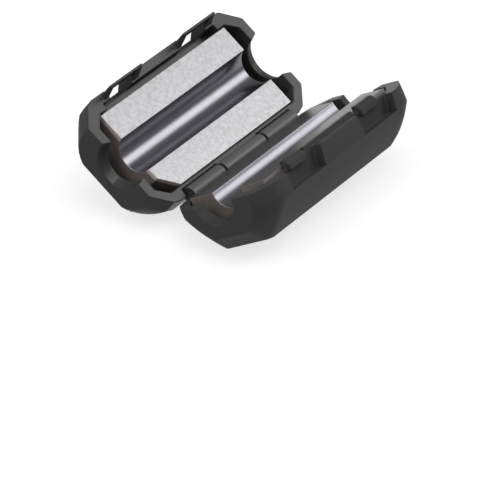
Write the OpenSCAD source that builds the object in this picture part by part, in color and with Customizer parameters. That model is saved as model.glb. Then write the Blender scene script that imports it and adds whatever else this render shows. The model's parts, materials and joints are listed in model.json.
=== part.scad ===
// Clip-on ferrite bead, shown open.
// Two moulded half shells are joined by a hinge, and each one holds half of a split ferrite core.
// A half is drawn in its shut place first: cable axis along X, latch on -Y, hinge on +Y and the
// joint between the halves at z = 0. It then swings about the hinge to its open place, where both
// halves stand on the rounded shoulders next to the hinge.

/* [Case] */
// Length of the shut case along the cable
case_length = 25; // [23.5:0.1:30]
// Thickness of the wall on the latch side
latch_wall = 1.6; // [1.5:0.05:2.4]
// Thickness of the wall on the hinge side
hinge_wall = 1.2; // [1.1:0.05:2]
// Thickness of the back of the window shell
window_back_wall = 1.2; // [1.05:0.05:2.4]
// Thickness of the back of the hook shell
hook_back_wall = 1.35; // [1.25:0.05:2]
// Half width of the flat along the back of the window shell
window_flat = 3.2; // [2.8:0.1:3.6]
// Half width of the flat along the back of the hook shell
hook_flat = 2.7; // [2.6:0.1:3.2]
// How far the long shoulders of the window shell bulge past a straight chamfer
window_bulge = 0.3; // [0.1:0.05:0.5]
// How far the long shoulders of the hook shell bulge past a straight chamfer
hook_bulge = 0.2; // [0.1:0.05:0.5]
// Height of the flat sides between the joint and the shoulders
side_height = 1.8; // [1.75:0.05:2.2]
// Length of the tapered stretch at each end
taper_length = 2.35; // [1.8:0.05:3]
// How far the taper brings each side in at the end face
taper_side = 2.1; // [1.2:0.05:2.4]
// How far the taper brings each back in at the end face
taper_back = 1.9; // [1.2:0.05:2.1]
// How far the taper of the hook shell leans from its latch side to its hinge side
hook_lean = 0.2; // [0:0.05:0.25]
// Thickness of the end walls
end_wall = 1.15; // [1:0.05:1.6]

/* [Cable hole] */
// Diameter of the cable hole at the outside of each end wall
hole_outer_d = 5.1; // [4.4:0.1:5.6]
// Diameter of the cable hole at the inside of each end wall
hole_inner_d = 4.3; // [3.9:0.1:4.8]

/* [Ferrite core] */
// Length of the core
core_length = 20; // [16:0.5:20.5]
// Width of the core
core_width = 9.8; // [9:0.1:12]
// Height of the whole core, both halves together
core_height = 8.7; // [8:0.1:11]
// Diameter of the cable bore through the core
core_bore = 3.8; // [3:0.1:5]
// Chamfer along the back edges of the core
core_chamfer = 1.7; // [1.5:0.1:2]
// Length of the cut at the near hinge corner of the core in the window shell
corner_cut = 1.8; // [1:0.1:2]
// How far the joint between the core halves lies above the joint between the shells
core_rise = 0.25; // [0:0.05:0.3]
// Gap between each core half and the sides of its pocket
core_fit = 0.08; // [0.04:0.01:0.15]
// Gap between the two core faces when the clip is shut
core_face_gap = 0.04; // [0.02:0.01:0.1]
// Gap between the two shell rims when the clip is shut
rim_gap = 0.1; // [0.06:0.01:0.2]

/* [Spring tongues] */
// Width of the spring tongue at each end of the window shell's back
tongue_width = 4.2; // [3:0.1:5]
// Distance from the tip of the tongue to the end face
tongue_setback = 1.15; // [1:0.05:1.5]
// Width of the slot around the tongue
tongue_slot = 0.5; // [0.3:0.05:0.7]
// Distance from the root of the tongue to the end face
tongue_root = 2.6; // [2.2:0.1:3]
// Diameter of the relief hole at each side of the root
relief_d = 2.4; // [1.6:0.1:2.6]
// Thickness left between a relief hole and the pocket
relief_floor = 0.3; // [0.2:0.05:0.5]

/* [Finger scoop] */
// Length of the scoop in the back of the window shell
scoop_length = 12; // [8:0.5:14]
// Width of the scoop
scoop_width = 4.4; // [3:0.1:5]
// Depth of the scoop at its middle
scoop_depth = 0.85; // [0.4:0.05:0.95]

/* [Latch] */
// Middle of each tab, as its distance from the middle of the case
tab_offset = 5.9; // [5:0.1:6.5]
// Width of each tab
tab_width = 5.1; // [4.4:0.1:5.6]
// How far each tab reaches past the joint
tab_reach = 1.73; // [1.4:0.05:2]
// Thickness of each tab at its root
tab_thickness = 0.7; // [0.65:0.05:0.75]
// Thickness of each tab at its free edge, and of the bar under its window
tab_edge = 0.2; // [0.15:0.01:0.35]
// Height above the joint from which a tab has its full thickness
tab_full = 1; // [0.5:0.1:1.5]
// How far the outside of each tab lies inside the latch side
tab_inset = 0.2; // [0.1:0.05:0.25]
// How much wider a tab is at its root, on the side away from the near end
tab_slant = 0.5; // [0:0.1:0.8]
// Gap around a tab in its recess
tab_gap = 0.1; // [0.06:0.01:0.2]
// Width of the window in each tab
window_width = 3.6; // [3:0.05:3.8]
// How far the window's lower edge lies past the joint
window_reach = 0.35; // [0.2:0.05:0.6]
// Height of the window above the joint
window_height = 2.6; // [2.2:0.1:3.2]
// Gap between the nose and the bar of its tab
nose_gap = 0.1; // [0.08:0.01:0.15]
// Width of the nose
nose_width = 2.6; // [2:0.05:2.8]
// Height of the nose above the joint
nose_height = 0.75; // [0.5:0.05:1.4]
// Height of the middle stretch of the latch wall above the joint
ledge_height = 0.28; // [0.2:0.02:0.5]
// Height of the lip inside the latch wall above the joint
lip_height = 0.62; // [0.5:0.02:1.2]
// Thickness of the lip
lip_thickness = 0.55; // [0.5:0.05:0.65]
// Length of the lip, which lies between the tabs
lip_length = 8; // [7.5:0.1:8.4]
// Length of the recess in the window shell that takes the lip and the noses
recess_length = 17.8; // [17.2:0.1:18.6]
// Depth of that recess
recess_depth = 1.6; // [1.5:0.05:1.8]

/* [Hinge] */
// How far the hinge axis lies outside the hinge face
hinge_out = 0.05; // [-0.1:0.05:0.3]
// Height of the hinge axis above the joint
hinge_rise = 0.1; // [0:0.05:0.3]
// Radius of the hinge knuckles
knuckle_radius = 0.8; // [0.75:0.05:0.9]
// Radius of the moulded hinge pin
pin_radius = 0.38; // [0.3:0.02:0.42]
// Gap between the pin and its bore
pin_gap = 0.04; // [0.02:0.01:0.06]
// Length of the middle knuckle, on the window shell
middle_knuckle = 6.4; // [5:0.1:8]
// Length of each outer knuckle, on the hook shell
outer_knuckle = 5; // [4:0.1:5.2]
// Gap between neighbouring knuckles
knuckle_end_gap = 0.3; // [0.1:0.05:0.6]
// Gap between a knuckle and the wall that it turns past
knuckle_gap = 0.12; // [0.08:0.02:0.2]
// Height of the web that ties a knuckle to its wall
web_height = 1.5; // [1.2:0.1:2]

/* [Pose] */
// Angle between the two joint faces when the clip lies open
open_angle = 113.5; // [100:0.5:120]

/* [Hidden] */
$fn = 64;
eps = 0.01;
half_l = case_length / 2;
pocket_l = core_length / 2 + core_fit;
pocket_w = core_width / 2 + core_fit;
latch_y = -pocket_w - latch_wall;
hinge_face = pocket_w + hinge_wall;
window_back = core_height / 2 + core_rise + window_back_wall;
hook_back = core_height / 2 - core_rise + hook_back_wall;
cavity_l = half_l - end_wall;
cavity_in = (cavity_l - pocket_l) * taper_side / taper_length;
tip_rise = (cavity_l - pocket_l) * taper_back / taper_length;
tongue_outer = tongue_width / 2 + tongue_slot;
hinge_y = hinge_face + hinge_out;
wall_clear = knuckle_radius + knuckle_gap;
lip_y = -pocket_w - lip_thickness;
tab_outer_y = latch_y + tab_inset;
tab_inner_y = tab_outer_y + tab_thickness;
bar_inner_y = tab_outer_y + tab_edge;
nose_y = bar_inner_y + nose_gap;
outer_x = middle_knuckle / 2 + knuckle_end_gap + outer_knuckle / 2;
hook_tilt = level_tilt(0, 180 - open_angle);
window_tilt = 180 - open_angle - hook_tilt;
axis_height = drop(hook_back, hook_flat, hook_bulge, hook_tilt, hinge_rise);
axis_y = (spread(hook_back, hook_flat, hook_bulge, hook_tilt, hinge_rise)
    - spread(window_back, window_flat, window_bulge, window_tilt, -hinge_rise)) / 2;

// How far a half that is tilted about the hinge reaches below the axis, where rise is the height of
// the axis above its joint face
function drop(back, flat, bulge, tilt, rise) = max([for (p = outline(back, flat, bulge, 0, 0, 0))
    (p[0] - hinge_y) * sin(tilt) - (p[1] - rise) * cos(tilt)]);

// How far a half that is tilted about the hinge reaches away from the axis
function spread(back, flat, bulge, tilt, rise) = max([for (p = outline(back, flat, bulge, 0, 0, 0))
    (hinge_y - p[0]) * cos(tilt) - (p[1] - rise) * sin(tilt)]);

// The tilt of the hook shell, between two bounds, at which both halves reach equally far down
function level_tilt(low, high, steps = 30) =
    let (t = (low + high) / 2,
        hook_hangs = drop(hook_back, hook_flat, hook_bulge, t, hinge_rise)
            > drop(window_back, window_flat, window_bulge, 180 - open_angle - t, -hinge_rise))
    steps == 0 ? t : level_tilt(hook_hangs ? t : low, hook_hangs ? high : t, steps - 1);

// A rod along X
module rod(r, length, y = 0, z = 0) {
    translate([-length / 2, y, z]) rotate([0, 90, 0]) cylinder(r = r, h = length);
}

// A box given by its ranges
module box(x, y, z) {
    translate([x[0], y[0], z[0]]) cube([x[1] - x[0], y[1] - y[0], z[1] - z[0]]);
}

// Points from p to q along a curve that bulges out to the right of the straight line between them
function curve(p, q, bulge, steps = 6) =
    let (d = q - p, k = (p + q) / 2 + 2 * bulge * [d[1], -d[0]] / norm(d))
    [for (i = [0:steps]) let (t = i / steps) (1 - t) * (1 - t) * p + 2 * t * (1 - t) * k + t * t * q];

// Outline of a half in Y and Z, below the joint, brought in by the two insets and leaning to one side
function outline(back, flat, bulge, side, low, lean) =
    let (latch = latch_y + side * (1 - lean / 2), hinge = hinge_face - side)
    concat(
        [[latch, 0]],
        curve([latch, -side_height + side / 3], [-flat + side / 4, low - back], bulge + side / 8),
        curve([flat - side / 4 - lean * side, low - back],
            [hinge, -side_height + side / 3 + lean * side], bulge + side * (1 / 8 - lean / 2)),
        [[hinge, 0]]);

// Solid half body below the joint, with bulging shoulders and tapered ends
module half_body(back, flat, bulge, lean) {
    bend = 0.45;
    skin = 0.06;
    insets = [[half_l - taper_length - bend, 0, 0], [half_l - taper_length + bend, 0.25, 0.2],
        [half_l - 0.35, taper_side - 0.35, taper_back - 0.3], [half_l - skin / 2, taper_side, taper_back]];
    hull() for (e = [-1, 1], i = insets) translate([e * i[0] - skin / 2, 0, 0]) rotate([90, 0, 90])
        linear_extrude(skin) polygon(outline(back, flat, bulge, i[1], i[2], lean));
}

// Pocket for the core, with a shallower eight-sided cavity past its ends and room over the tongues
module half_pocket(floor) {
    cavity_w = pocket_w - cavity_in;
    depth = -floor - core_chamfer;
    along_x(2 * pocket_l) core_outline(pocket_w, floor, -floor);
    translate([0, 0, -depth]) linear_extrude(2 * depth) polygon([
        [cavity_l, -cavity_w], [cavity_l, cavity_w], [pocket_l, pocket_w], [-pocket_l, pocket_w],
        [-cavity_l, cavity_w], [-cavity_l, -cavity_w], [-pocket_l, -pocket_w], [pocket_l, -pocket_w]]);
    plate(-tongue_outer, tongue_outer) polygon([[-cavity_l, 0], [-cavity_l, floor + tip_rise],
        [-pocket_l, floor], [pocket_l, floor], [cavity_l, floor + tip_rise], [cavity_l, 0]]);
}

// Outline of a core half or of its pocket in Y and Z
module core_outline(w, low, high) {
    polygon([[-w, high], [-w, low + core_chamfer], [-w + core_chamfer, low],
        [w - core_chamfer, low], [w, low + core_chamfer], [w, high]]);
}

// Flared cable holes through both end walls
module cable_holes(rise) {
    for (e = [0, 180]) rotate([0, 0, e]) translate([cavity_l - eps, 0, rise]) rotate([0, 90, 0])
        cylinder(d1 = hole_inner_d, d2 = hole_outer_d, h = end_wall + 2 * eps);
}

// The slots around a spring tongue of the window shell and the relief holes at its root, at both ends
module tongue_cuts(back, floor) {
    tip = half_l - tongue_setback;
    root = half_l - tongue_root;
    inner = tongue_width / 2;
    top = floor + core_chamfer + eps;
    for (e = [0, 180]) rotate([0, 0, e]) {
        box([tip, tip + tongue_slot], [-tongue_outer, tongue_outer], [-back - eps, top]);
        for (s = [0, 1]) mirror([0, s, 0]) {
            box([root, tip + eps], [inner, tongue_outer], [-back - eps, top]);
            translate([root, inner + relief_d / 2, -back - eps])
                cylinder(d = relief_d, h = back + floor - relief_floor + eps);
        }
    }
}

// Half shell without latch and hinge, with its core joint at a rise above its own joint
module plain_half(back, flat, bulge, lean, rise) {
    difference() {
        half_body(back, flat, bulge, lean);
        box([-half_l - 1, half_l + 1], [latch_y - 1, hinge_face + 1], [-rim_gap / 2, 1]);
        half_pocket(rise - core_height / 2);
        cable_holes(rise);
    }
}

// Outline of a tab in X and Z, grown by a gap
module tab_outline(gap) {
    polygon([[-tab_width / 2 - gap, side_height], [-tab_width / 2 - gap, -tab_reach - gap],
        [tab_width / 2 + gap, -tab_reach - gap], [tab_width / 2 + tab_slant + gap, ledge_height],
        [tab_width / 2 + tab_slant + gap, side_height]]);
}

// Children at both tabs
module at_tabs() {
    for (s = [-1, 1]) translate([s * tab_offset, 0, 0]) children();
}

// A plate standing on an outline in X and Z, between two depths in Y
module plate(y0, y1) {
    translate([0, y1, 0]) rotate([90, 0, 0]) linear_extrude(y1 - y0) children();
}

// Profile of a knuckle and the web that ties it to the wall above (up = 1) or below (up = -1)
module knuckle_profile(up) {
    translate([hinge_y, hinge_rise]) circle(knuckle_radius);
    polygon([[hinge_y - knuckle_radius, hinge_rise], [hinge_y - wall_clear, up * web_height],
        [hinge_face, up * (web_height + 0.3)], [hinge_y + knuckle_radius, hinge_rise]]);
}

// A solid along X with a profile in Y and Z
module along_x(length) {
    translate([-length / 2, 0, 0]) rotate([90, 0, 90]) linear_extrude(length) children();
}

// The hook shell in its shut place: recesses, noses, lip, outer knuckles and the pin
module hook_shell_shut() {
    lip_x = lip_length / 2;
    pin_length = middle_knuckle + 2 * knuckle_end_gap;
    difference() {
        union() {
            difference() {
                union() {
                    plain_half(hook_back, hook_flat, hook_bulge, hook_lean, core_rise);
                    box([-tab_offset, tab_offset], [latch_y, -pocket_w],
                        [-rim_gap, ledge_height - rim_gap / 2]);
                }
                at_tabs() plate(latch_y - 1, lip_y) tab_outline(tab_gap);
            }
            box([-lip_x, lip_x], [lip_y, -pocket_w], [-rim_gap, lip_height]);
            at_tabs() hook_nose();
            for (s = [-1, 1]) translate([s * outer_x, 0, 0]) along_x(outer_knuckle) knuckle_profile(-1);
        }
        rod(wall_clear, pin_length, hinge_y, hinge_rise);
        half_pocket(core_rise - core_height / 2);
    }
    rod(pin_radius, pin_length + 2 * eps, hinge_y, hinge_rise);
}

// The nose that stands on the wall behind a tab and catches in its window
module hook_nose() {
    along_x(nose_width) polygon([[-pocket_w, -window_reach], [nose_y, -window_reach],
        [nose_y, nose_height / 2], [lip_y - tab_gap, nose_height], [-pocket_w, nose_height]]);
}

// The window shell in its shut place, drawn with its back up
module window_shell_shut() {
    recess_x = recess_length / 2;
    scoop_r = (pow(scoop_length / 2, 2) + pow(scoop_depth, 2)) / (2 * scoop_depth);
    difference() {
        union() {
            difference() {
                mirror([0, 0, 1]) plain_half(window_back, window_flat, window_bulge, 0, -core_rise);
                box([-tab_offset, tab_offset], [latch_y - 1, -pocket_w + eps],
                    [-rim_gap, ledge_height + rim_gap / 2]);
            }
            at_tabs() tab();
            along_x(middle_knuckle) knuckle_profile(1);
        }
        box([-recess_x, recess_x], [lip_y - tab_gap, -pocket_w + eps], [-eps, recess_depth]);
        at_tabs() box([-window_width / 2, window_width / 2], [latch_y - 1, lip_y - tab_gap],
            [-window_reach, window_height]);
        for (s = [-1, 1]) translate([s * outer_x, 0, 0])
            rod(wall_clear, outer_knuckle + 2 * knuckle_end_gap, hinge_y, hinge_rise);
        rod(pin_radius + pin_gap, middle_knuckle + 2, hinge_y, hinge_rise);
        mirror([0, 0, 1]) {
            half_pocket(-core_rise - core_height / 2);
            tongue_cuts(window_back, -core_rise - core_height / 2);
        }
        translate([0, 0, window_back - scoop_depth + scoop_r]) rotate([90, 0, 0])
            translate([0, 0, -scoop_width / 2]) cylinder(r = scoop_r, h = scoop_width, $fn = 180);
    }
}

// A tab with its window, thinner towards its free edge, and the thin bar under the window
module tab() {
    intersection() {
        plate(tab_outer_y, tab_inner_y) difference() {
            tab_outline(0);
            translate([-window_width / 2, -tab_reach - 1]) square([window_width, tab_reach + 1]);
        }
        along_x(2 * tab_width) polygon([[latch_y, -tab_reach - eps], [bar_inner_y, -tab_reach - eps],
            [tab_inner_y + eps, tab_full], [tab_inner_y + eps, side_height + eps],
            [latch_y, side_height + eps]]);
    }
    box([-window_width / 2 - eps, window_width / 2 + eps], [tab_outer_y, bar_inner_y],
        [-tab_reach, -window_reach]);
}

// One half of the ferrite core, in the hook shell
module core_half() {
    difference() {
        along_x(core_length) core_outline(core_width / 2, -core_height / 2, -core_face_gap / 2);
        rod(core_bore / 2, core_length + 1);
    }
}

// The other half, whose near corner on the hinge side is cut off
module cut_core_half() {
    difference() {
        core_half();
        translate([-core_length / 2, core_width / 2, -core_height]) rotate([0, 0, 45])
            cube([corner_cut * sqrt(2), corner_cut * sqrt(2), 2 * core_height], center = true);
    }
}

// Swings a half about the hinge from its shut place, and stands the open clip on z = 0
module swing(angle) {
    translate([0, axis_y, axis_height]) rotate([angle, 0, 0]) translate([0, -hinge_y, -hinge_rise])
        children();
}

module hook_shell() {
    color([0.22, 0.22, 0.22]) swing(-hook_tilt) hook_shell_shut();
}

module hook_core() {
    color([0.8, 0.8, 0.82]) swing(-hook_tilt) translate([0, 0, core_rise]) core_half();
}

module window_shell() {
    color([0.25, 0.25, 0.25]) swing(window_tilt - 180) window_shell_shut();
}

module window_core() {
    color([0.82, 0.82, 0.84]) swing(window_tilt - 180)
        translate([0, 0, core_rise]) mirror([0, 0, 1]) cut_core_half();
}

hook_shell();
hook_core();
window_shell();
window_core();
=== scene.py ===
"""Clip-on ferrite bead, lying open: rounded mouldings, ferrite cores, finishes and a small studio."""

from __future__ import annotations

import json
import logging
import math
from dataclasses import dataclass
from enum import Enum

import bmesh
import bpy
from mathutils import Matrix, Vector

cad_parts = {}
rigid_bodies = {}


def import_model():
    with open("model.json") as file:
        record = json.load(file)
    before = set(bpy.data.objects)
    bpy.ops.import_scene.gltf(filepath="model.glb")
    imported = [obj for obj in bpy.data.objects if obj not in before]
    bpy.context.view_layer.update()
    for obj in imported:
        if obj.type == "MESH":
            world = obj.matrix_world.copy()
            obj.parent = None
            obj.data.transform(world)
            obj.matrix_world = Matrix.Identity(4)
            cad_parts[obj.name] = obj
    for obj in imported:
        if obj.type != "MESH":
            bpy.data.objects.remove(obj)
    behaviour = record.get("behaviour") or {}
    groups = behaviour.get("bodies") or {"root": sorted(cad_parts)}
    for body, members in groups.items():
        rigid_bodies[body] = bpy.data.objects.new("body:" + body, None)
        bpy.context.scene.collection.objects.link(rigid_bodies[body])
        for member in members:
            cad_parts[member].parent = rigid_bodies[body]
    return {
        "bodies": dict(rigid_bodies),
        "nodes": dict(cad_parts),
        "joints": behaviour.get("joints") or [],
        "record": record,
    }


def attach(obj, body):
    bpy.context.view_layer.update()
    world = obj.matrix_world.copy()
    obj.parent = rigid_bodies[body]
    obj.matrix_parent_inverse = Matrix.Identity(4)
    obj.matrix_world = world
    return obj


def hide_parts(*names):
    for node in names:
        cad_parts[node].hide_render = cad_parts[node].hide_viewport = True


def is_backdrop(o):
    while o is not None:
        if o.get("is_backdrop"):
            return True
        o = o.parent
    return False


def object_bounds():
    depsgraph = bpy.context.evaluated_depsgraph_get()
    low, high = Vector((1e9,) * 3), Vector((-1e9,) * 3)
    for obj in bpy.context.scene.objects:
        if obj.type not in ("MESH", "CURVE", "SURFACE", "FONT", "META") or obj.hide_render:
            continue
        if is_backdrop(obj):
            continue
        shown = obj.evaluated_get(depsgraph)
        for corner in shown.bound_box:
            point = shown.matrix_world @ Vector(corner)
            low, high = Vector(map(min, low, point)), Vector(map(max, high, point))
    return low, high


LOG = logging.getLogger("ferrite_bead")
MM = 0.001

# Points closer than this are one, and a cut takes in points this near to it
MERGE_DISTANCE = 0.0005 * MM
CUT_SNAP = 0.001 * MM
# Faces that meet at less than the first of these are one flat, and edges that turn by more than the
# second are rounded
FLAT_ANGLE = math.radians(0.6)
SHARP_ANGLE = math.radians(28)
# Edges that fork at less than this don't limit each other's rounding
CORNER_ANGLE = math.radians(20)
# A rounding takes up to this share of the room beside its edge, in this many steps
ROUNDING_SHARE = 0.42
ROUNDING_STEPS = 2
# How much the wide flats weigh in the shading of their rounded edges, from 1 to 100
FLAT_WEIGHT = 60
# A face whose normal rises more than this points upwards
UPWARD_SHARE = 0.3
# Depth of the band along the top of the window core's sides that is painted pale as a highlight
HIGHLIGHT_BAND_DEPTH = 0.45 * MM
FLOOR_HALF_SIDE = 6.0
SENSOR_WIDTH_MM = 36.0
VIEW_DEPTH = 10.0


class CoreSurface(Enum):
    """The three finishes on a core half and a painted highlight band, valued by material index."""

    GROUND = 0
    GROOVE = 1
    FIRED = 2
    WORN = 3


class ShellSurface(Enum):
    """The three finishes on a shell, valued by material index; the knuckles' one is smoother and painted
    lighter as a highlight.
    """

    GRAINED = 0
    PARTING = 1
    KNUCKLE = 2


# ---------------------------------------------------------------- node helpers


@dataclass
class NodeSheet:
    """A material's node tree with short ways to add and join nodes.

    Attributes:
        material: The material that owns the tree.
    """

    material: bpy.types.Material

    def __post_init__(self) -> None:
        """Empties the tree and adds the output node."""
        self.material.use_nodes = True
        self.tree = self.material.node_tree
        self.tree.nodes.clear()
        self.output = self.add("ShaderNodeOutputMaterial")

    def add(self, kind: str, **settings: object) -> bpy.types.Node:
        """Adds a node.

        Args:
            kind: The node's type name.
            **settings: Properties of the node to set.

        Returns:
            The new node.
        """
        node = self.tree.nodes.new(kind)
        for name, value in settings.items():
            setattr(node, name, value)
        return node

    def join(self, source: bpy.types.NodeSocket, target: bpy.types.NodeSocket) -> None:
        """Links one socket to another."""
        self.tree.links.new(source, target)

    def noise(self, scale: float, detail: float, roughness: float = 0.5) -> bpy.types.Node:
        """Adds a noise texture on Object coordinates.

        Args:
            scale: Cycles of noise in a metre.
            detail: Number of finer octaves.
            roughness: How strong the finer octaves are.

        Returns:
            The noise node.
        """
        coordinates = self.add("ShaderNodeTexCoord")
        node = self.add("ShaderNodeTexNoise")
        node.inputs["Scale"].default_value = scale
        node.inputs["Detail"].default_value = detail
        node.inputs["Roughness"].default_value = roughness
        self.join(coordinates.outputs["Object"], node.inputs["Vector"])
        return node

    def ramp(self, source: bpy.types.NodeSocket, stops: list[tuple[float, tuple]]) -> bpy.types.Node:
        """Adds a colour ramp.

        Args:
            source: The socket that drives the ramp.
            stops: Position and colour of each stop, in order.

        Returns:
            The ramp node.
        """
        node = self.add("ShaderNodeValToRGB")
        elements = node.color_ramp.elements
        while len(elements) < len(stops):
            elements.new(1.0)
        for element, (position, colour) in zip(elements, stops):
            element.position = position
            element.color = (*colour, 1.0)
        self.join(source, node.inputs["Fac"])
        return node

    def bump(self, height: bpy.types.NodeSocket, strength: float, distance: float) -> bpy.types.Node:
        """Adds a bump node.

        Args:
            height: The socket that gives the height.
            strength: How strongly the bump shows, from 0 to 1.
            distance: The height of a full-scale bump, in metres.

        Returns:
            The bump node.
        """
        node = self.add("ShaderNodeBump")
        node.inputs["Strength"].default_value = strength
        node.inputs["Distance"].default_value = distance
        self.join(height, node.inputs["Height"])
        return node

    def principled(self, roughness: float, specular: float, metallic: float = 0.0) -> bpy.types.Node:
        """Adds the Principled shader and joins it to the output.

        Args:
            roughness: Roughness of the surface.
            specular: Specular level.
            metallic: Share of metal.

        Returns:
            The shader node.
        """
        shader = self.add("ShaderNodeBsdfPrincipled")
        shader.inputs["Roughness"].default_value = roughness
        shader.inputs["Specular IOR Level"].default_value = specular
        shader.inputs["Metallic"].default_value = metallic
        self.join(shader.outputs["BSDF"], self.output.inputs["Surface"])
        return shader


def tint(colour: tuple, factor: float) -> tuple:
    """Scales a colour by a factor."""
    return tuple(min(1.0, channel * factor) for channel in colour)


# ---------------------------------------------------------------- finishes


@dataclass(frozen=True)
class MouldedPlastic:
    """Moulded charcoal plastic: a fine even grain with faint flow clouds.

    Attributes:
        name: Name of the material.
        colour: Base colour.
        roughness: Roughness of the surface.
        specular: Specular level.
        grain_scale: Grains in a metre.
        grain_depth: Depth of the grain in metres.
        cloud_scale: Flow clouds in a metre.
        dark_cloud: Darkest cloud's share of the base colour.
        light_cloud: Lightest cloud's share of the base colour.
        grain_strength: How strongly the grain shows, from 0 to 1.
    """

    name: str
    colour: tuple
    roughness: float
    specular: float
    grain_scale: float
    grain_depth: float
    cloud_scale: float = 160.0
    dark_cloud: float = 0.86
    light_cloud: float = 1.16
    grain_strength: float = 0.35

    def make(self) -> bpy.types.Material:
        """Builds the material."""
        sheet = NodeSheet(bpy.data.materials.new(self.name))
        shader = sheet.principled(self.roughness, self.specular)
        clouds = sheet.noise(self.cloud_scale, detail=3.0)
        colours = sheet.ramp(clouds.outputs["Fac"],
                             [(0.3, tint(self.colour, self.dark_cloud)),
                              (0.7, tint(self.colour, self.light_cloud))])
        sheet.join(colours.outputs["Color"], shader.inputs["Base Color"])
        grain = sheet.noise(self.grain_scale, detail=1.0)
        bump = sheet.bump(grain.outputs["Fac"], self.grain_strength, self.grain_depth)
        sheet.join(bump.outputs["Normal"], shader.inputs["Normal"])
        return sheet.material


@dataclass(frozen=True)
class Ferrite:
    """Sintered ferrite in one of its finishes, with a speckle of grains and pores.

    Attributes:
        name: Name of the material.
        colour: Middle colour.
        contrast: How far the speckle strays from it.
        roughness: Roughness of the surface.
        metallic: Share of metal.
        speckle_scale: Speckles in a metre.
        pore_depth: Depth of the pores in metres.
        specular: Specular level.
        pore_strength: How strongly the pores show, from 0 to 1.
    """

    name: str
    colour: tuple
    contrast: float
    roughness: float
    metallic: float
    speckle_scale: float
    pore_depth: float
    specular: float = 0.5
    pore_strength: float = 0.3

    def make(self) -> bpy.types.Material:
        """Builds the material."""
        sheet = NodeSheet(bpy.data.materials.new(self.name))
        shader = sheet.principled(self.roughness, self.specular, self.metallic)
        speckle = sheet.noise(self.speckle_scale, detail=4.0, roughness=0.65)
        colours = sheet.ramp(speckle.outputs["Fac"],
                             [(0.32, tint(self.colour, 1.0 - self.contrast)),
                              (0.5, self.colour),
                              (0.68, tint(self.colour, 1.0 + self.contrast))])
        sheet.join(colours.outputs["Color"], shader.inputs["Base Color"])
        bump = sheet.bump(speckle.outputs["Fac"], self.pore_strength, self.pore_depth)
        sheet.join(bump.outputs["Normal"], shader.inputs["Normal"])
        return sheet.material


@dataclass(frozen=True)
class StudioFloor:
    """A pale floor that reads white to the eye and keeps the object's shadow.

    Attributes:
        name: Name of the material.
        colour: Colour that the floor lends to the light it sends back.
        lift: Light of its own that the floor shows to the camera and in reflections.
    """

    name: str = "studio_floor"
    colour: tuple = (0.32, 0.32, 0.32)
    lift: float = 0.73

    def make(self) -> bpy.types.Material:
        """Builds the material."""
        sheet = NodeSheet(bpy.data.materials.new(self.name))
        plain = sheet.add("ShaderNodeBsdfDiffuse")
        plain.inputs["Color"].default_value = (*self.colour, 1.0)
        glow = sheet.add("ShaderNodeEmission")
        glow.inputs["Strength"].default_value = self.lift
        seen = sheet.add("ShaderNodeAddShader")
        sheet.join(plain.outputs["BSDF"], seen.inputs[0])
        sheet.join(glow.outputs["Emission"], seen.inputs[1])
        light_path = sheet.add("ShaderNodeLightPath")
        either = sheet.add("ShaderNodeMath", operation="MAXIMUM")
        sheet.join(light_path.outputs["Is Camera Ray"], either.inputs[0])
        sheet.join(light_path.outputs["Is Glossy Ray"], either.inputs[1])
        mix = sheet.add("ShaderNodeMixShader")
        sheet.join(either.outputs["Value"], mix.inputs["Fac"])
        sheet.join(plain.outputs["BSDF"], mix.inputs[1])
        sheet.join(seen.outputs["Shader"], mix.inputs[2])
        sheet.join(mix.outputs["Shader"], sheet.output.inputs["Surface"])
        return sheet.material


SHELL_FINISHES = {
    ShellSurface.GRAINED: MouldedPlastic(
        name="plastic_grained", colour=(0.030, 0.0306, 0.030), roughness=0.68, specular=0.3,
        grain_scale=5200.0, grain_depth=0.00002),
    ShellSurface.PARTING: MouldedPlastic(
        name="plastic_parting", colour=(0.034, 0.0348, 0.034), roughness=0.4, specular=0.42,
        grain_scale=2600.0, grain_depth=0.00001),
    # Smoother plastic on the hinge knuckles, its colour raised well above the grained one as a painted
    # highlight
    ShellSurface.KNUCKLE: MouldedPlastic(
        name="plastic_knuckle_painted_highlight", colour=(0.075, 0.0765, 0.075), roughness=0.42, specular=0.5,
        grain_scale=2600.0, grain_depth=0.00001),
}

CORE_FINISHES = {
    CoreSurface.GROUND: Ferrite(
        name="ferrite_ground", colour=(0.245, 0.242, 0.248), contrast=0.17, roughness=0.34,
        metallic=1.0, speckle_scale=2600.0, pore_depth=0.000004),
    CoreSurface.GROOVE: Ferrite(
        name="ferrite_groove", colour=(0.2, 0.197, 0.216), contrast=0.05, roughness=0.29,
        metallic=1.0, speckle_scale=700.0, pore_depth=0.0000008),
    CoreSurface.FIRED: Ferrite(
        name="ferrite_fired", colour=(0.17, 0.149, 0.14), contrast=0.15, roughness=0.52,
        metallic=0.0, speckle_scale=2600.0, pore_depth=0.00002),
    # A pale colour painted on the top band of the window core's sides as a highlight, where light falls
    # on them
    CoreSurface.WORN: Ferrite(
        name="ferrite_painted_highlight", colour=(0.50, 0.44, 0.415), contrast=0.2, roughness=0.5,
        metallic=0.0, speckle_scale=2600.0, pore_depth=0.00001),
}


# ---------------------------------------------------------------- pieces


def merged_copy(node: bpy.types.Object) -> bmesh.types.BMesh:
    """Copies a CAD node's mesh, merges its doubles and joins its flat triangles into whole faces.

    Args:
        node: The CAD node.

    Returns:
        The cleaned mesh.
    """
    mesh = bmesh.new()
    mesh.from_mesh(node.data)
    bmesh.ops.remove_doubles(mesh, verts=mesh.verts, dist=MERGE_DISTANCE)
    bmesh.ops.dissolve_limit(mesh, angle_limit=FLAT_ANGLE, verts=mesh.verts, edges=mesh.edges,
                             use_dissolve_boundaries=False)
    mesh.normal_update()
    return mesh


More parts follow.
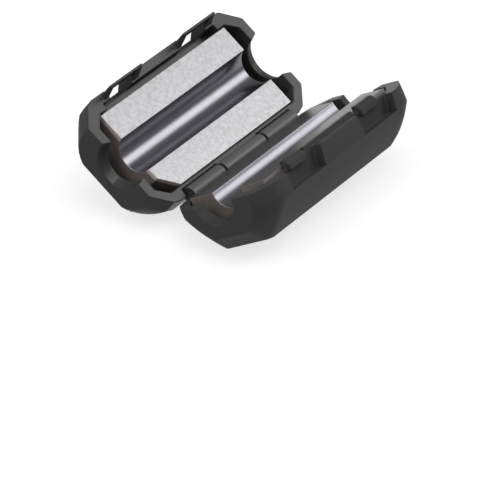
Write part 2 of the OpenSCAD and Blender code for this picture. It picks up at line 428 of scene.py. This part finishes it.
def joint_normal(core: bpy.types.Object) -> Vector:
    """Finds the way that a half's joint faces point, which is that of its core's widest upper face.

    Args:
        core: The CAD node of the core half.

    Returns:
        The unit normal of the joint.
    """
    mesh = merged_copy(core)
    upward = [face for face in mesh.faces if face.normal.z > UPWARD_SHARE]
    normal = max(upward, key=lambda face: face.calc_area()).normal.copy()
    mesh.free()
    return normal


def room_beside(edge: bmesh.types.BMEdge) -> float:
    """Finds how far an edge can be rounded before it reaches another edge of its faces.

    Args:
        edge: The edge.

    Returns:
        The smallest free distance, in metres.
    """
    room = edge.calc_length()
    for face in edge.link_faces:
        for other in face.edges:
            if other is edge:
                continue
            shared = set(edge.verts) & set(other.verts)
            if shared:
                corner = shared.pop()
                arm = other.other_vert(corner).co - corner.co
                along = edge.other_vert(corner).co - corner.co
                if arm.length > 0 and along.length > 0 and arm.angle(along) > CORNER_ANGLE:
                    room = min(room, arm.length)
                continue
            near, far = other.verts[0].co, other.verts[1].co
            for point in (near, far, (near + far) / 2):
                start, end = edge.verts[0].co, edge.verts[1].co
                line = end - start
                share = max(0.0, min(1.0, (point - start).dot(line) / line.length_squared))
                room = min(room, (point - start - line * share).length)
    return room


def link_piece(name: str, mesh: bmesh.types.BMesh) -> bpy.types.Object:
    """Turns a finished bmesh into an object in the scene.

    Args:
        name: Name of the piece.
        mesh: The geometry, which is freed.

    Returns:
        The new object.
    """
    data = bpy.data.meshes.new(name)
    mesh.to_mesh(data)
    mesh.free()
    piece = bpy.data.objects.new(name, data)
    bpy.context.scene.collection.objects.link(piece)
    for polygon in data.polygons:
        polygon.use_smooth = True
    return piece


def round_edges(mesh: bmesh.types.BMesh, radius: float) -> None:
    """Marks every sharp edge with the share of the radius that it has room for.

    Args:
        mesh: The mesh.
        radius: The widest rounding.
    """
    weights = mesh.edges.layers.float.new("bevel_weight_edge")
    for edge in mesh.edges:
        if len(edge.link_faces) == 2 and edge.calc_face_angle(0.0) > SHARP_ANGLE:
            edge[weights] = min(1.0, ROUNDING_SHARE * room_beside(edge) / radius)


def add_rounding(piece: bpy.types.Object, radius: float) -> None:
    """Adds the modifiers that round the marked edges and keep the flats flat.

    Args:
        piece: The piece.
        radius: Rounding of an edge with a weight of 1.
    """
    bevel = piece.modifiers.new("edge_rounding", "BEVEL")
    bevel.limit_method = "WEIGHT"
    bevel.width = radius
    bevel.segments = ROUNDING_STEPS
    bevel.use_clamp_overlap = False
    bevel.miter_outer = "MITER_ARC"
    shading = piece.modifiers.new("flat_shading", "WEIGHTED_NORMAL")
    shading.keep_sharp = True
    shading.weight = FLAT_WEIGHT


@dataclass
class Shell:
    """A moulded half shell with rounded edges: grained outside, smooth where it parts, and smooth and
    painted lighter as a highlight on its hinge knuckles.

    Attributes:
        node: The CAD node that the shell stands for.
        core: The CAD node of the core half that it holds.
        body: The body that it rides on.
        edge_radius: Rounding of its open edges, in metres.
        knuckle_reach: Faces nearer to the hinge's axis than this belong to its knuckles, in metres.
        level_share: A face that points more than this along the joint's normal is a parting face.
        barrel_share: A face that points more than this along the hinge ends a knuckle.
    """

    node: str
    core: str
    body: str
    edge_radius: float = 0.12 * MM
    knuckle_reach: float = 0.95 * MM
    level_share: float = 0.9
    barrel_share: float = 0.5

    def surface_of(self, face: bmesh.types.BMFace, hinge: Vector, up: Vector) -> ShellSurface:
        """Tells which finish a face has.

        Args:
            face: The face.
            hinge: A point on the hinge's axis.
            up: The way that the joint faces point.

        Returns:
            The face's finish.
        """
        outward = face.calc_center_median() - hinge
        outward.x = 0.0
        # Faces round the hinge's axis take the knuckle finish with its painted highlight
        if outward.length < self.knuckle_reach and abs(face.normal.x) < self.barrel_share:
            return ShellSurface.KNUCKLE
        parting = face.normal.dot(up) > self.level_share
        return ShellSurface.PARTING if parting else ShellSurface.GRAINED

    def build(self, frame: dict, materials: dict[ShellSurface, bpy.types.Material]) -> bpy.types.Object:
        """Builds the shell.

        Args:
            frame: The loaded frame.
            materials: The material for each kind of surface.

        Returns:
            The shell's object.
        """
        mesh = merged_copy(frame["nodes"][self.node])
        up = joint_normal(frame["nodes"][self.core])
        hinge = Vector(frame["joints"][0]["pos_m"])
        for face in mesh.faces:
            face.material_index = self.surface_of(face, hinge, up).value
        round_edges(mesh, self.edge_radius)
        piece = link_piece(self.node + "_moulding", mesh)
        add_rounding(piece, self.edge_radius)
        for surface in ShellSurface:
            piece.data.materials.append(materials[surface])
        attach(piece, self.body)
        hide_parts(self.node)
        return piece


@dataclass
class CoreHalf:
    """Half of the split ferrite core.

    Attributes:
        node: The CAD node that the core stands for.
        mount: The mount at the middle of its cable groove.
        body: The body that it rides on.
        edge_radius: Rounding of its edges, in metres.
        highlight_band_depth: Depth of the band below the joint that is painted pale as a highlight, in
            metres.
        ground_share: A face that points more than this along the joint's normal is ground.
        groove_share: A face that points more than this at the groove's axis is in the groove.
    """

    node: str
    mount: str
    body: str
    edge_radius: float = 0.07 * MM
    highlight_band_depth: float = 0.0
    ground_share: float = 0.999
    groove_share: float = 0.9

    def axis_point(self, frame: dict) -> Vector:
        """The point at the middle of the groove's axis."""
        mounts = {mount["name"]: mount for mount in frame["record"]["mounts"]}
        return Vector(mounts[self.mount]["pos_m"])

    def surface_of(self, face: bmesh.types.BMFace, centre: Vector, up: Vector,
                   highlight_band_from: float) -> CoreSurface:
        """Tells which finish a face has.

        Args:
            face: The face.
            centre: A point on the groove's axis.
            up: The way that the joint faces point.
            highlight_band_from: How far along that way the painted highlight band begins.

        Returns:
            The face's finish.
        """
        if face.normal.dot(up) > self.ground_share:
            return CoreSurface.GROUND
        outward = face.calc_center_median() - centre
        outward.x = 0.0
        if outward.length > 0 and face.normal.dot(outward.normalized()) < -self.groove_share:
            return CoreSurface.GROOVE
        # Sides in the band just below the joint take the painted highlight, the rest the fired colour
        return CoreSurface.WORN if face.calc_center_median().dot(up) > highlight_band_from else CoreSurface.FIRED

    def build(self, frame: dict, materials: dict[CoreSurface, bpy.types.Material]) -> bpy.types.Object:
        """Builds the core half.

        Args:
            frame: The loaded frame.
            materials: The material for each kind of surface.

        Returns:
            The core's object.
        """
        mesh = merged_copy(frame["nodes"][self.node])
        centre = self.axis_point(frame)
        up = joint_normal(frame["nodes"][self.node])
        highlight_band_from = max(vertex.co.dot(up) for vertex in mesh.verts) - self.highlight_band_depth
        # Cut the sides where the painted highlight band ends
        if self.highlight_band_depth:
            bmesh.ops.bisect_plane(mesh, geom=mesh.verts[:] + mesh.edges[:] + mesh.faces[:],
                                   dist=CUT_SNAP, plane_co=up * highlight_band_from, plane_no=up)
        for face in mesh.faces:
            face.material_index = self.surface_of(face, centre, up, highlight_band_from).value
        round_edges(mesh, self.edge_radius)
        piece = link_piece(self.node + "_ferrite", mesh)
        add_rounding(piece, self.edge_radius)
        for surface in CoreSurface:
            piece.data.materials.append(materials[surface])
        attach(piece, self.body)
        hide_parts(self.node)
        return piece


# ---------------------------------------------------------------- studio


@dataclass
class Softbox:
    """A rectangular lamp aimed at the object.

    Attributes:
        name: Name of the lamp.
        azimuth: Where it stands, in degrees, as the camera's azimuth is counted.
        elevation: Its height above the floor, in degrees.
        distance: Its distance from the object, in metres.
        size: Its two sides, in metres.
        power: Its power in watts.
    """

    name: str
    azimuth: float
    elevation: float
    distance: float
    size: tuple[float, float]
    power: float

    def build(self, target: Vector) -> bpy.types.Object:
        """Builds the lamp.

        Args:
            target: The point that it is aimed at.

        Returns:
            The lamp's object.
        """
        data = bpy.data.lights.new(self.name, "AREA")
        data.shape = "RECTANGLE"
        data.size, data.size_y = self.size
        data.energy = self.power
        lamp = bpy.data.objects.new(self.name, data)
        back = view_axes(self.azimuth, self.elevation)[2]
        lamp.location = target + back * self.distance
        lamp.rotation_euler = back.to_track_quat("Z", "Y").to_euler()
        bpy.context.scene.collection.objects.link(lamp)
        return lamp


def view_axes(azimuth: float, elevation: float) -> tuple[Vector, Vector, Vector]:
    """Works out the axes of a view.

    Args:
        azimuth: Degrees about Z, where 0 looks along +Y.
        elevation: Degrees above the floor.

    Returns:
        The view's right, up and back directions.
    """
    turn, rise = math.radians(azimuth), math.radians(elevation)
    right = Vector((math.cos(turn), math.sin(turn), 0.0))
    back = Vector((math.sin(turn) * math.cos(rise), -math.cos(turn) * math.cos(rise), math.sin(rise)))
    return right, back.cross(right), back


@dataclass
class Studio:
    """The floor, lamps, sky and camera.

    Attributes:
        azimuth: The camera's azimuth in degrees.
        elevation: The camera's elevation in degrees.
        distance: The camera's distance in metres.
        lens: Focal length in millimetres.
        aim_right: How far right of the frame's origin the camera looks, in metres.
        aim_up: How far above it the camera looks, in metres.
        sky: Strength of the world's light.
        lamps: The lamps.
    """

    azimuth: float = -54.75
    elevation: float = 33.1
    distance: float = 0.4769
    lens: float = 375.0
    aim_right: float = -0.318 * MM
    aim_up: float = -5.495 * MM
    sky: float = 0.27
    lamps: tuple[Softbox, ...] = (
        Softbox(name="end_softbox", azimuth=55.5, elevation=34.5, distance=0.9,
                size=(0.44, 0.42), power=2.5),
        Softbox(name="opposite_softbox", azimuth=-114.0, elevation=41.0, distance=0.9,
                size=(0.5, 0.5), power=2.5),
        Softbox(name="overhead_softbox", azimuth=-20.0, elevation=78.0, distance=0.9,
                size=(0.8, 0.8), power=5.0),
    )

    def build_floor(self) -> None:
        """Builds the floor."""
        mesh = bmesh.new()
        bmesh.ops.create_grid(mesh, x_segments=1, y_segments=1, size=FLOOR_HALF_SIDE)
        floor = link_piece("studio_floor", mesh)
        floor.data.materials.append(StudioFloor().make())
        floor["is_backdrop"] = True

    def build_sky(self) -> None:
        """Builds an even pale sky."""
        world = bpy.data.worlds.new("studio_sky")
        world.use_nodes = True
        background = world.node_tree.nodes["Background"]
        background.inputs["Color"].default_value = (1.0, 1.0, 1.0, 1.0)
        background.inputs["Strength"].default_value = self.sky
        bpy.context.scene.world = world

    def build_camera(self) -> None:
        """Builds the camera."""
        right, up, back = view_axes(self.azimuth, self.elevation)
        data = bpy.data.cameras.new("camera")
        data.lens = self.lens
        data.sensor_width = SENSOR_WIDTH_MM
        data.clip_end = VIEW_DEPTH
        camera = bpy.data.objects.new("camera", data)
        place = right * self.aim_right + up * self.aim_up + back * self.distance
        camera.matrix_world = Matrix.Translation(place) @ Matrix((right, up, back)).transposed().to_4x4()
        bpy.context.scene.collection.objects.link(camera)
        bpy.context.scene.camera = camera

    def build(self, target: Vector) -> None:
        """Builds the whole studio.

        Args:
            target: The point that the lamps are aimed at.
        """
        self.build_floor()
        self.build_sky()
        for lamp in self.lamps:
            lamp.build(target)
        self.build_camera()
        view = bpy.context.scene.view_settings
        view.view_transform = "Standard"


def report(piece: bpy.types.Object) -> None:
    """Logs a finished piece and its face count."""
    LOG.info("%s: %d faces before modifiers", piece.name, len(piece.data.polygons))


def main() -> None:
    """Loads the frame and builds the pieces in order."""
    logging.basicConfig(level=logging.INFO, format="%(name)s: %(message)s")
    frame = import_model()
    cad_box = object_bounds()
    plastic_materials = {surface: finish.make() for surface, finish in SHELL_FINISHES.items()}
    ferrite_materials = {surface: finish.make() for surface, finish in CORE_FINISHES.items()}
    # Only the window core's sides get the painted highlight band
    for half, highlight_band_depth in (("hook", 0.0), ("window", HIGHLIGHT_BAND_DEPTH)):
        body = half + "_half"
        shell, core = half + "_shell", half + "_core"
        report(Shell(shell, core, body).build(frame, plastic_materials))
        core_half = CoreHalf(core, core + "_groove", body, highlight_band_depth=highlight_band_depth)
        report(core_half.build(frame, ferrite_materials))
    low, high = (Vector(corner) for corner in cad_box)
    Studio().build((low + high) / 2)


if __name__ == "__main__":
    main()
